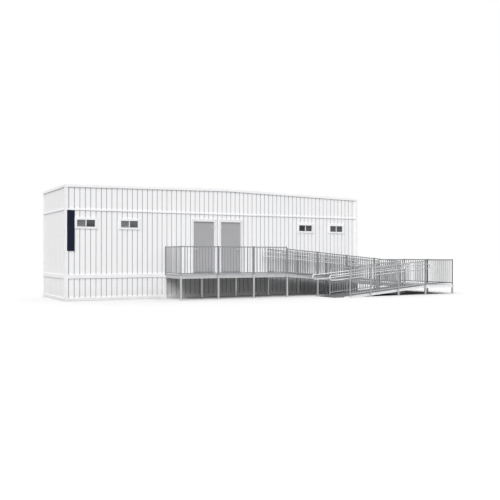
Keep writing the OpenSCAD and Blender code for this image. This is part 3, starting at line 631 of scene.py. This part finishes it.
class Maker:
    """Collects small solids into one mesh."""

    def __init__(self):
        self.bm = bmesh.new()

    def prism(self, outline, axis, low, high):
        """Extrudes an outline along an axis; outline points hold the other two coordinates."""
        rings = []
        for depth in (low, high):
            ring = []
            for a, b in outline:
                p = {"x": (depth, a, b), "y": (a, depth, b), "z": (a, b, depth)}[axis]
                ring.append(self.bm.verts.new(p))
            rings.append(ring)
        n = len(outline)
        self.bm.faces.new(rings[0])
        self.bm.faces.new(list(reversed(rings[1])))
        for i in range(n):
            j = (i + 1) % n
            self.bm.faces.new((rings[0][j], rings[0][i], rings[1][i], rings[1][j]))

    def block(self, x0, x1, y0, y1, z0, z1, edge=0.0):
        """A box whose upright edges and upper rim are chamfered by edge."""
        if edge <= 0:
            self.prism([(x0, y0), (x1, y0), (x1, y1), (x0, y1)], "z", z0, z1)
            return
        e = edge
        plan = [(x0 + e, y0), (x1 - e, y0), (x1, y0 + e), (x1, y1 - e),
                (x1 - e, y1), (x0 + e, y1), (x0, y1 - e), (x0, y0 + e)]
        cx, cy = (x0 + x1) / 2, (y0 + y1) / 2
        fx = 1 - 2 * e / (x1 - x0)
        fy = 1 - 2 * e / (y1 - y0)
        rim = [(cx + (x - cx) * fx, cy + (y - cy) * fy) for x, y in plan]
        self.loft([[(x, y, z0) for x, y in plan], [(x, y, z1 - e) for x, y in plan],
                   [(x, y, z1) for x, y in rim]])

    def loft(self, rings):
        """Closes a row of rings, each with as many points, into one solid."""
        rows = [[self.bm.verts.new(point) for point in ring] for ring in rings]
        self.bm.faces.new(list(reversed(rows[0])))
        self.bm.faces.new(rows[-1])
        n = len(rows[0])
        for lower, upper in zip(rows, rows[1:]):
            for i in range(n):
                j = (i + 1) % n
                self.bm.faces.new((lower[i], lower[j], upper[j], upper[i]))

    def rod(self, start, end, radius, sides=12, crown=0.0):
        """A round bar or a bolt head; crown rounds its far end."""
        a, b = Vector(start), Vector(end)
        turn = (b - a).to_track_quat("Z", "Y").to_matrix()
        rings = [(a, radius), (b, radius)]
        if crown:
            step = (b - a).normalized() * crown
            rings = [(a, radius), (b - step, radius), (b, radius * 0.6)]
        angles = [i * 2 * math.pi / sides for i in range(sides)]
        self.loft([
            [centre + turn @ Vector((r * math.cos(t), r * math.sin(t), 0)) for t in angles]
            for centre, r in rings
        ])

    def hex_bolt(self, at, way, size=0.012, tall=0.006):
        """Washer and hexagon head that stand out of a face along way."""
        p, d = Vector(at), Vector(way)
        self.rod(p, p + d * WASHER_T, size * 0.95, 16)
        self.rod(p + d * WASHER_T, p + d * (WASHER_T + tall), size * 0.58, 6, crown=0.0012)

    def mesh(self, name):
        """The collected solids as a mesh, with their faces turned outwards."""
        bmesh.ops.recalc_face_normals(self.bm, faces=self.bm.faces)
        mesh = bpy.data.meshes.new(name)
        self.bm.to_mesh(mesh)
        self.bm.free()
        return mesh


# --- Decking ------------------------------------------------------------------------------

PLANK_W = 0.1525
PLANK_GAP = 0.004
RIB_H = 0.002
RIB_STEP = 0.0254
PLATE_T = 0.005
WEB_T = 0.004
TRIM_T = 0.003
TRIM_SINK = 0.0005              # trims stay this far inside the surface's upper and lower faces
BOARD_END_GAP = 0.003           # first plank of a ramp or the landing to the surface beside it
TOE_GAP = 0.01                  # first plank of the lower ramp to the toe
TOE_RISE = 0.0009               # and the height of its foot
RIB_SHARES = (0.28, 0.34, 0.66, 0.72)   # where a rib rises and falls within its step


def plank_outline(width, hollow=True):
    """Side view of a decking plank: ribs on top of a plate, three webs under it."""
    top = [(0.0, -RIB_H)]
    count = max(int(width / RIB_STEP), 1)
    step = width / count
    for i in range(count):
        a, b, c, d = (i * step + step * share for share in RIB_SHARES)
        top += [(a, -RIB_H), (b, 0.0), (c, 0.0), (d, -RIB_H)]
    top.append((width, -RIB_H))
    under = [(width, -SURFACE_T)]
    if hollow:
        half = WEB_T / 2
        under += [
            (width - WEB_T, -SURFACE_T), (width - WEB_T, -PLATE_T),
            (width / 2 + half, -PLATE_T), (width / 2 + half, -SURFACE_T),
            (width / 2 - half, -SURFACE_T), (width / 2 - half, -PLATE_T),
            (WEB_T, -PLATE_T), (WEB_T, -SURFACE_T),
        ]
    return top + under + [(0.0, -SURFACE_T)]


def lay_planks(maker, start, end, low, high):
    """Planks across a walkway from start to end, both (x, height) of the upper face."""
    start, end = Vector(start), Vector(end)
    way = (end - start).normalized()
    up = Vector((-way.y, way.x))
    length = (end - start).length
    count = max(round(length / (PLANK_W + PLANK_GAP)), 1)
    step = length / count
    for i in range(count):
        first = start + way * (i * step + PLANK_GAP / 2)
        lowest = min(first.y, (first + way * step).y) - SURFACE_T
        outline = []
        for u, h in plank_outline(step - PLANK_GAP, lowest > 0.001):
            p = first + way * u + up * h
            outline.append((p.x, max(p.y, 0.0)))
        maker.prism(outline, "y", low, high)


def decking(name, node, strips, finish="tread"):
    """One piece of decking for strips of (start, end, low y, high y); it stands for a node."""
    m = Maker()
    for start, end, low, high in strips:
        lay_planks(m, start, end, low + TRIM_T, high - TRIM_T)
    new_piece(name, m, finish, replaced=[node])


def make_decking():
    """The deck has a short strip beside its corner leg, then full planks up to the wall."""
    low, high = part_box("deck_surface")
    corner = LEFT_LEG + LEG_W / 2
    decking("deck_planks", "deck_surface", [
        ((low.x, high.z), (corner, high.z), low.y, REAR_LEG_Y - LEG_W / 2),
        ((corner, high.z), (high.x, high.z), low.y, high.y),
    ], "deck")
    low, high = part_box("upper_ramp_surface")
    decking("upper_ramp_planks", "upper_ramp_surface",
            [((low.x + BOARD_END_GAP, high.z), (high.x, LANDING_TOP), low.y, high.y)])
    low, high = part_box("landing_surface")
    decking("landing_planks", "landing_surface",
            [((low.x + BOARD_END_GAP, high.z), (high.x, high.z), low.y, high.y)], "deck")
    low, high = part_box("lower_ramp_surface")
    decking("lower_ramp_planks", "lower_ramp_surface",
            [((low.x + TOE_GAP, TOE_RISE), (high.x, high.z), low.y, high.y)])


# --- Frames and legs ----------------------------------------------------------------------

LIP_OUT = 0.005                 # lips of the frames' channels
LIP_H = 0.009
STRAP_T = 0.003
STRAP_H = 0.070
STRAP_DROP = 0.012              # from the frame's upper edge
STRAP_BOLT = 0.018              # from a strap's upper or lower edge
STRAP_LEAST = 0.06              # legs lower than this have no strap
ANCHOR_IN = 0.013               # from a foot plate's edge
ANCHOR_FREE = 0.008             # from the leg


def strip(m, start, end, y, way, wide, under, over):
    """A flat strip along a side, wide along way; start and end are (x, surface height)."""
    outline = [(start[0], start[1] + under), (end[0], end[1] + under),
               (end[0], end[1] + over), (start[0], start[1] + over)]
    outline = [(x, max(z, 0.0)) for x, z in outline]
    if outline[0] != outline[3]:
        m.prism(outline, "y", min(y, y + way * wide), max(y, y + way * wide))


def fascia_lips(m, start, end, y, out, depth=FRAME_H):
    """Upper and lower lips of a channel along a side."""
    for top in (-SURFACE_T, -SURFACE_T - depth + LIP_H):
        strip(m, start, end, y, out, LIP_OUT, top - LIP_H, top)


def edge_trim(m, start, end, y, inward):
    """Closes the plank ends along a side."""
    strip(m, start, end, y, inward, TRIM_T, -SURFACE_T + TRIM_SINK, -TRIM_SINK)


def two_pieces(kind, high_up, low_down):
    """Pieces for the deck with the upper ramp, and for the landing with the lower ramp."""
    new_piece("upper_" + kind, high_up, "beam")
    new_piece("lower_" + kind, low_down, "low_beam")


def make_edge_trims():
    """Trims along the open sides of the deck, the ramps and the landing."""
    high_up, low_down = Maker(), Maker()
    low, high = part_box("deck_surface")
    edge_trim(high_up, (low.x, DECK_TOP), (high.x, DECK_TOP), low.y, 1)
    low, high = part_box("upper_ramp_surface")
    for y, inward in ((low.y, 1), (high.y, -1)):
        edge_trim(high_up, (low.x, DECK_TOP), (high.x, LANDING_TOP), y, inward)
    low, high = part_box("landing_surface")
    for y, inward in ((low.y, 1), (high.y, -1)):
        edge_trim(low_down, (low.x, LANDING_TOP), (high.x, LANDING_TOP), y, inward)
    low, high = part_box("lower_ramp_surface")
    at = SURFACE_T + 0.001          # the trim ends where the surface is that high
    start = low.x + (high.x - low.x) * at / LANDING_TOP
    for y, inward in ((low.y, 1), (high.y, -1)):
        edge_trim(low_down, (start, at), (high.x, LANDING_TOP), y, inward)
    two_pieces("edge_trims", high_up, low_down)


def make_fascias():
    """Lips of the channels along the sides of the frames."""
    high_up, low_down = Maker(), Maker()
    low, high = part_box("deck_frame")
    fascia_lips(high_up, (low.x, DECK_TOP), (high.x, DECK_TOP), low.y, -1)
    low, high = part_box("upper_ramp_frame")
    for y, out in ((low.y, -1), (high.y, 1)):
        fascia_lips(high_up, (low.x, DECK_TOP), (high.x, LANDING_TOP), y, out)
    low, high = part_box("lower_ramp_surface")
    run = high.x - low.x
    start = low.x + run * (SURFACE_T + LOWER_FRAME_H) / LANDING_TOP
    at = LANDING_TOP * (start - low.x) / run
    for y, out in ((low.y, -1), (high.y, 1)):
        fascia_lips(low_down, (start, at), (high.x, LANDING_TOP), y, out, LOWER_FRAME_H)
    low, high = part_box("landing_frame")
    for y, out in ((low.y, -1), (high.y, 1)):
        fascia_lips(low_down, (low.x, LANDING_TOP), (high.x, LANDING_TOP), y, out)
    two_pieces("channel_lips", high_up, low_down)


def leg_shaft(points):
    """Box of a leg without its foot plate."""
    return limits([p for p in points if p.z > FOOT_T + 0.02])


def leg_strap(straps, bolts, low, high, z1):
    """A clamp strap round three sides of a leg's head, up to z1, with two bolts."""
    z0 = z1 - STRAP_H
    if z0 <= STRAP_LEAST:
        return
    straps.block(low.x - STRAP_T, high.x + STRAP_T, low.y - STRAP_T, low.y, z0, z1)
    straps.block(low.x - STRAP_T, low.x, low.y, high.y, z0, z1)
    straps.block(high.x, high.x + STRAP_T, low.y, high.y, z0, z1)
    for z in (z0 + STRAP_BOLT, z1 - STRAP_BOLT):
        bolts.hex_bolt(((low.x + high.x) / 2, low.y - STRAP_T, z), (0, -1, 0))


def anchor_bolts(bolts, plate_low, plate_high, low, high):
    """Bolts at the corners of a foot plate, where the leg leaves room."""
    for x in (plate_low.x + ANCHOR_IN, plate_high.x - ANCHOR_IN):
        for y in (plate_low.y + ANCHOR_IN, plate_high.y - ANCHOR_IN):
            clear_x = x < low.x - ANCHOR_FREE or x > high.x + ANCHOR_FREE
            clear_y = y < low.y - ANCHOR_FREE or y > high.y + ANCHOR_FREE
            if clear_x or clear_y:
                bolts.hex_bolt((x, y, FOOT_T), (0, 0, 1), 0.010, 0.007)


def make_leg_hardware():
    """Clamp straps round the legs' heads, their bolts, and anchor bolts on the foot plates."""
    straps, bolts = Maker(), Maker()
    for points in solids("legs"):
        low, high = leg_shaft(points)
        plate_low, plate_high = limits([p for p in points if p.z <= FOOT_T + 0.001])
        leg_strap(straps, bolts, low, high, high.z - SURFACE_T - STRAP_DROP)
        anchor_bolts(bolts, plate_low, plate_high, low, high)
    new_piece("leg_straps", straps, "leg")
    new_piece("leg_bolts", bolts, "bolt")


# --- Guards and handrails -----------------------------------------------------------------

CAP_OUT = 0.001                 # caps stand out from a post this far
CAP_DOWN = 0.010
CAP_UP = 0.004
SHOE_OUT = 0.004
SHOE_HALF = 0.029
SHOE_H = 0.006
BOLT_UP = 0.05                  # from a post's foot
BOLT_DOWN = 0.09                # from its top
BOLT_OUT = 0.004
SEAL_IN = 0.003                 # seals stay this far inside the posts' faces
SEAL_FREE = 0.0003
SEAL_FOOT = 0.008
SEAL_TOP = 0.012
SLEEVE_HALF = 0.03
SLEEVE_T = 0.0013
RETURN_ZONE = 0.045             # where a pipe's end is read, each way along it
POST_LEAST = 0.9                # an upright taller than this is an end post
POST_SLACK = 0.0008             # how far its points may lie outside its width
POST_FACE = 0.0005              # and off its side faces
POST_TOP = 0.001                # and under its top
SHORT_BY = 0.003                # guards along y: an upright lower than the top isn't dressed
JOINT_SLACK = 0.002
GUARDS = ("deck_guards", "upper_ramp_guards", "landing_guards", "lower_ramp_guards")


def stiles(points):
    """End posts of one guard: (x, y, foot, top, 'x' or 'y' run)."""
    low, high = limits(points)
    along = 0 if high.x - low.x > high.y - low.y else 1
    found = []
    for edge, inner in ((low[along], 1), (high[along], -1)):
        mid = edge + inner * STILE_W / 2
        near = [p for p in points if abs(p[along] - mid) < STILE_W / 2 + POST_SLACK]
        zs = [p.z for p in near]
        if not zs or max(zs) - min(zs) < POST_LEAST:
            continue
        if along == 1 and max(zs) < high.z - SHORT_BY:
            continue
        flat = [p for p in near if abs(abs(p[along] - mid) - STILE_W / 2) < POST_FACE]
        top = max(p.z for p in flat)
        tops = [p for p in flat if abs(p.z - top) < POST_TOP]
        a, b = limits(tops)
        x, y = (a.x + b.x) / 2, (a.y + b.y) / 2
        found.append((x, y, min(zs), top, "xy"[along]))
    return found


def seal_and_shade_strips(posts):
    """Dark rubber strips in the narrow joints between the end posts of neighbouring panels: partly
    seals, partly painted shade in the gaps.
    """
    m = Maker()
    thin, deep = STILE_GAP / 2 - SEAL_FREE, STILE_W / 2 - SEAL_IN
    for i, (x, y, foot, top, run) in enumerate(posts):
        for x2, y2, foot2, top2, run2 in posts[i + 1:]:
            along, aside = (abs(x2 - x), abs(y2 - y)) if run == "x" else (abs(y2 - y), abs(x2 - x))
            apart = abs(along - STILE_W - STILE_GAP)
            if run2 != run or max(aside, apart) > JOINT_SLACK:
                continue
            cx, cy = (x + x2) / 2, (y + y2) / 2
            wide, across = (thin, deep) if run == "x" else (deep, thin)
            m.block(cx - wide, cx + wide, cy - across, cy + across,
                    max(foot, foot2) + SEAL_FOOT, min(top, top2) - SEAL_TOP)
    new_piece("joint_seals_and_shade", m, "rubber")


def dress_post(caps, shoes, bolts, x, y, foot, top, run):
    """Cap, foot flange and two joining bolts of one end post."""
    half = STILE_W / 2
    cap, shoe = half + CAP_OUT, half + SHOE_OUT
    caps.block(x - cap, x + cap, y - cap, y + cap, top - CAP_DOWN, top + CAP_UP, 0.003)
    shoes.block(x - shoe, x + shoe, y - SHOE_HALF, y + SHOE_HALF, foot - 0.0001,
                foot + SHOE_H, 0.001)
    for z in (foot + BOLT_UP, top - BOLT_DOWN):
        face, head = ((x, y - half, z), (x, y - half - BOLT_OUT, z))
        if run == "y":
            face, head = ((x - half, y, z), (x - half - BOLT_OUT, y, z))
        bolts.rod(face, head, 0.006, 10, 0.0015)


def make_guard_hardware():
    """Caps and foot flanges of the guards' end posts, with the bolts that join two panels."""
    caps, shoes, bolts = Maker(), Maker(), Maker()
    posts = [post for node in GUARDS for points in solids(node) for post in stiles(points)]
    for post in posts:
        dress_post(caps, shoes, bolts, *post)
    new_piece("stile_caps", caps, "rubber")
    new_piece("stile_shoes", shoes, "guard")
    new_piece("stile_bolts", bolts, "bolt")
    seal_and_shade_strips(posts)


def pipe_height(points, x):
    """Heights of a handrail's two straight pipes at x, with their slope."""
    low, high = limits(points)
    middle = (low.x + high.x) / 2
    left = [p for p in points if p.x < middle]
    right = [p for p in points if p.x >= middle]
    ends = []
    for group, at in ((left, low.x + HANDRAIL_REACH), (right, high.x - HANDRAIL_REACH)):
        zs = [p.z for p in group if abs(p.x - at) < RETURN_ZONE]
        ends.append((at, min(zs) + PIPE_R, max(zs) - PIPE_R))
    (x0, *heights0), (x1, *heights1) = ends
    slopes = [(b - a) / (x1 - x0) for a, b in zip(heights0, heights1)]
    return [(a + (x - x0) * slope, slope) for a, slope in zip(heights0, slopes)]


def make_rail_sleeves():
    """Joint sleeves at the quarter points of the handrails' upper and lower pipes."""
    m = Maker()
    for node in ("upper_handrails", "lower_handrails"):
        for points in solids(node):
            low, high = limits(points)
            y = (low.y + high.y) / 2
            for share in (0.25, 0.5, 0.75):
                x = low.x + (high.x - low.x) * share
                for z, slope in pipe_height(points, x):
                    a = Vector((x - SLEEVE_HALF, y, z - SLEEVE_HALF * slope))
                    b = Vector((x + SLEEVE_HALF, y, z + SLEEVE_HALF * slope))
                    m.rod(a, b, PIPE_R + SLEEVE_T, 20)
    new_piece("rail_sleeves", m, "pipe")


# --- Building details ---------------------------------------------------------------------

GASKET_W = 0.006
GASKET_FREE = 0.0002
SASH_W = 0.012
SASH_FREE = 0.001
MESH_IN = 0.010
SCREENED = (0, 2)               # which panes have a screen, from the left
TRACK_OUT = 0.0015
TRACK_DROP = 0.014              # below the panes
STRIP_IN = 0.011                # from a leaf's edges
STRIP_W = 0.008
SWEEP_IN = 0.004
SWEEP_H = 0.030
SPINDLE_IN = 0.009              # the lever's spindle from its outer end
LOCK_UP = 0.090                 # over the spindle
LATCH_T = 0.0015
LATCH_IN = 0.008
LATCH_HALF = 0.060
SCREWS = 4
SCREW_IN = 0.02
SCREW_END = 0.03


def ring(m, x0, x1, z0, z1, w, y0, y1):
    """A rectangular ring in a window opening: outer edge x0..x1, z0..z1, w wide."""
    m.block(x0, x1, y0, y1, z0, z0 + w)
    m.block(x0, x1, y0, y1, z1 - w, z1)
    m.block(x0, x0 + w, y0, y1, z0 + w, z1 - w)
    m.block(x1 - w, x1, y0, y1, z0 + w, z1 - w)


def make_window_details():
    """Gaskets, the track under each window, and screens over each left window's left pane."""
    gaskets, sashes, screens, tracks = Maker(), Maker(), Maker(), Maker()
    for i, (low, high) in enumerate(PANES):
        f = GASKET_FREE
        ring(gaskets, low.x + f, high.x - f, low.z + f, high.z - f, GASKET_W,
             low.y - 0.003, low.y + 0.001)
        if i in SCREENED:
            x0, x1 = low.x + SASH_FREE, high.x - SASH_FREE
            z0, z1 = low.z + SASH_FREE, high.z - SASH_FREE
            ring(sashes, x0, x1, z0, z1, SASH_W, low.y - 0.012, low.y - 0.004)
            screens.block(x0 + MESH_IN, x1 - MESH_IN, low.y - 0.009, low.y - 0.008,
                          z0 + MESH_IN, z1 - MESH_IN)
    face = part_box("window_frames")[0].y
    for (low, _), (_, high) in zip(PANES[::2], PANES[1::2]):
        tracks.block(low.x, high.x, face - TRACK_OUT, face + 0.003,
                     low.z - TRACK_DROP, low.z - 0.001)
    new_piece("window_tracks", tracks, "rubber")
    new_piece("window_gaskets", gaskets, "rubber")
    new_piece("screen_frames", sashes, "bolt")
    new_piece("insect_screens", screens, "screen")


def weatherstrip(m, low, high):
    """Strip behind the sides and the head of a leaf, low and high being the leaf's box."""
    y0, y1 = high.y + 0.001, high.y + 0.0045
    near, far = STRIP_IN, STRIP_IN + STRIP_W
    for x0, x1 in ((low.x + near, low.x + far), (high.x - far, high.x - near)):
        m.block(x0, x1, y0, y1, low.z + 0.01, high.z - near)
    m.block(low.x + near, high.x - near, y0, y1, high.z - far, high.z - near)


def door_sweep(low, high):
    """Flat bar across the foot of a leaf."""
    m = Maker()
    m.block(low.x + SWEEP_IN, high.x - SWEEP_IN, low.y - 0.003, low.y, low.z + 0.001,
            low.z + SWEEP_H)
    return m


def door_lock(side, low, high):
    """Keyed cylinder over the lever's spindle, and the latch plate on the leaf's free edge."""
    m = Maker()
    lever_low, lever_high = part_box(side + "_lever")
    middle = (lever_low.z + lever_high.z) / 2
    z = middle + LOCK_UP
    if side == "left":
        x, edge, out = lever_low.x + SPINDLE_IN, low.x, -LATCH_T
    else:
        x, edge, out = lever_high.x - SPINDLE_IN, high.x, LATCH_T
    m.rod((x, low.y, z), (x, low.y - 0.009, z), 0.024, 28, 0.003)
    m.rod((x, low.y - 0.009, z), (x, low.y - 0.013, z), 0.013, 20, 0.001)
    m.block(x - 0.0012, x + 0.0012, low.y - 0.0136, low.y - 0.0128, z - 0.006, z + 0.004)
    m.block(min(edge, edge + out), max(edge, edge + out), low.y + LATCH_IN, high.y - LATCH_IN,
            middle - LATCH_HALF, middle + LATCH_HALF)
    return m


def make_door_details():
    """Weatherstrips on the frames; a sweep, a lock cylinder and a latch plate on each leaf."""
    strips = Maker()
    for side in ("left", "right"):
        low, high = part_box(side + "_door")
        weatherstrip(strips, low, high)
        new_piece(side + "_door_sweep", door_sweep(low, high), "guard",
                  side + "_leaf")
        new_piece(side + "_door_lock", door_lock(side, low, high), "steel",
                  side + "_leaf")
    new_piece("door_weatherstrips", strips, "rubber")


def make_sign_screws():
    """Two rows of screws on the blank panel."""
    low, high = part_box("blank_sign_panel")
    m = Maker()
    for x in (low.x + SCREW_IN, high.x - SCREW_IN):
        for k in range(SCREWS):
            z = low.z + SCREW_END + k * (high.z - low.z - 2 * SCREW_END) / (SCREWS - 1)
            m.rod((x, low.y, z), (x, low.y - 0.003, z), 0.006, 14, 0.0012)
    new_piece("panel_screws", m, "navy")


# --- Scene --------------------------------------------------------------------------------

LEG_BOXES = [leg_shaft(g) for g in solids("legs")]
LEFT_LEG = min((a.x + b.x) / 2 for a, b in LEG_BOXES)
REAR_LEG_Y = max((a.y + b.y) / 2 for a, b in LEG_BOXES)

make_camera()
make_world()
make_sun()
make_floor()
dress_nodes()
make_decking()
make_edge_trims()
make_fascias()
make_leg_hardware()
make_guard_hardware()
make_window_details()
make_door_details()
make_sign_screws()
make_rail_sleeves()
bpy.context.scene.view_settings.view_transform = "Standard"
